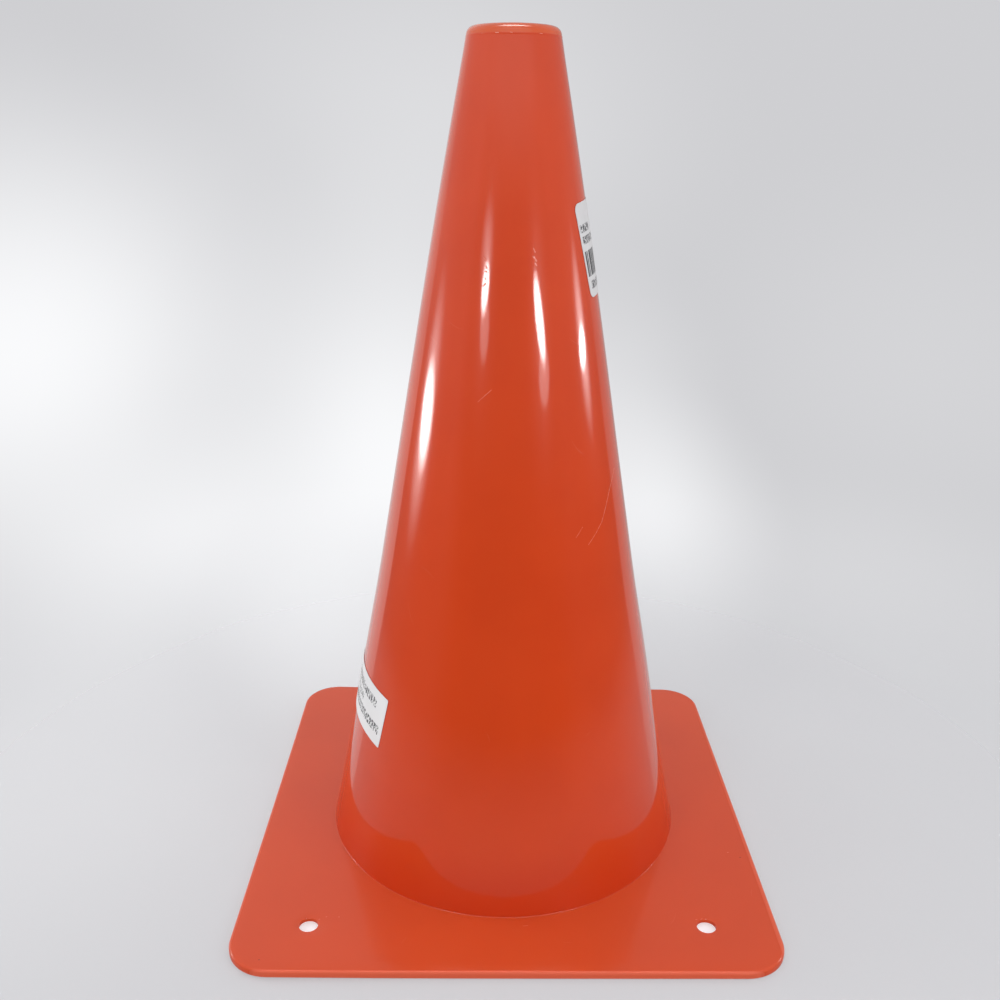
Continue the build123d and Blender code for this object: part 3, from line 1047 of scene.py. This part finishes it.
def addFloor():
    ring = circleLoop((0, 0), stage["radius"] * mm, stage["sides"])
    points = [(x, y, -stage["drop"] * mm) for x, y in [(0, 0)] + ring]
    faces = [(0, step, step % len(ring) + 1) for step in range(1, len(ring) + 1)]
    material, tree, shader = startMaterial("paleFloor")
    place = addNode(tree, "ShaderNodeTexCoord").outputs["Object"]
    cloud = ease(tree, grain(tree, place, stage["grainScale"], 3.0), 0.3, 0.7, 0.0, stage["grainShare"])
    away = vectorMaths(tree, "LENGTH", place)
    across, deep, _ = parted(tree, place)
    reach = squareReach(tree, across, deep)
    plateEdge, coneEdge, ends = ([part * mm for part in stage[key]] for key in ("plateEdge", "coneEdge", "fade"))
    cover = ease(tree, reach, *plateEdge, stage["coverBelow"], stage["cover"])
    fromBelow = addNode(tree, "ShaderNodeNewGeometry").outputs["Backfacing"]
    seen = maths(tree, "SUBTRACT", addNode(tree, "ShaderNodeLightPath").outputs["Is Camera Ray"], fromBelow)
    covered = product(tree, ease(tree, reach, *plateEdge, 1.0, 0.0), seen)
    cover = maths(tree, "MAXIMUM", cover, covered)
    # painted light: under the plate, for camera rays from above, the floor glows so the peg holes look lit
    paintedFloorGlow = product(tree, covered, ease(tree, away, *coneEdge, 0.0, stage["paintedGlowBelow"]))
    wireAll(tree, shader, {
        "Base Color": mixColours(tree, cloud, stage["floorColour"], stage["floorGrain"]),
        "Roughness": stage["floorRoughness"],
        "Specular IOR Level": stage["floorShine"],
        "Emission Color": stage["glowColour"],
        "Emission Strength": maths(tree, "MAXIMUM", paintedFloorGlow, 0.0),
        "Alpha": product(tree, cover, ease(tree, away, *ends, 1.0, 0.0)),
    })
    floor = meshPiece("paleFloor", points, faces, material)
    for polygon in floor.data.polygons:
        if polygon.normal.z < 0:
            polygon.flip()


# Soft surroundings: pale behind the object, a dim room in front of it, plain fill for its colours
def addSurroundings():
    scene.world = bpy.data.worlds.new("softRoom")
    scene.world.use_nodes = True
    tree = scene.world.node_tree
    way = vectorMaths(tree, "NORMALIZE", addNode(tree, "ShaderNodeTexCoord").outputs["Generated"])
    across, deep, up = parted(tree, way)
    rays = addNode(tree, "ShaderNodeLightPath").outputs

    def byHeight(levels):
        ramp = addNode(tree, "ShaderNodeValToRGB", {"Fac": maths(tree, "MULTIPLY_ADD", up, 0.5, 0.5)})
        stops = ramp.color_ramp.elements
        stops.remove(stops[1])
        for number, (rise, level) in enumerate(levels):
            stop = stops[0] if number == 0 else stops.new(1.0)
            stop.position = 0.5 + 0.5 * math.sin(math.radians(rise))
            stop.color = (level, level, stage["levelBlue"] * level, 1)
        return ramp.outputs["Color"]

    def softPatch(middle, narrowing, core, amount):
        offset = vectorMaths(tree, "MULTIPLY", vectorMaths(tree, "SUBTRACT", way, middle), narrowing)
        return ease(tree, vectorMaths(tree, "LENGTH", offset), core, 1.0, amount, 0.0)

    seen = stage["backColour"]
    for (x, z), (wide, tall), amount in stage["glows"]:
        share = softPatch((x, 0.0, z), (1 / wide, 0.0, 1 / tall), 0.0, amount)
        seen = mixColours(tree, share, seen, stage["glowColour"])
    fill = mixColours(tree, ease(tree, up, *stage["fillRise"]), stage["fill"], stage["fillAbove"])
    dimmer = ease(tree, across, *stage["sideDim"])
    sides = mixColours(tree, 1.0, byHeight(stage["sideLevels"]), joined(tree, dimmer, dimmer, dimmer), "MULTIPLY")
    turned = ease(tree, deep, *stage["frontToSide"])
    mirrored = mixColours(tree, turned, byHeight(stage["frontLevels"]), sides)
    behind = product(tree, ease(tree, across, *stage["backDim"]), ease(tree, up, *stage["backRise"]))
    beyond = ease(tree, maths(tree, "MULTIPLY_ADD", across, stage["backLean"], deep), *stage["sideToBack"])
    mirrored = mixColours(tree, beyond, mirrored, joined(tree, behind, behind, behind))
    (x, y), (wide, long), bright = stage["glint"]
    patch = softPatch((x, y, 0.0), (1 / wide, 1 / long, 0.0), stage["glintCore"], 1.0)
    patch = product(tree, patch, maths(tree, "GREATER_THAN", up, stage["glintLow"]))
    mirrored = mixColours(tree, patch, mirrored, (bright, bright, bright, 1))
    lit = mixColours(tree, rays["Is Glossy Ray"], fill, mirrored)
    wire(tree, tree.nodes["Background"].inputs["Color"], mixColours(tree, rays["Is Camera Ray"], lit, seen))


addFloor()
addSurroundings()
print("floor and surroundings ready")

for piece, node in ((wall, "cone_shell"), (plate, "base_plate"), (labels[0], "barcode_label"),
                    (labels[1], "address_label")):
    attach(piece, "root")
    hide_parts(node)
for piece in flecks:
    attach(piece, "root")
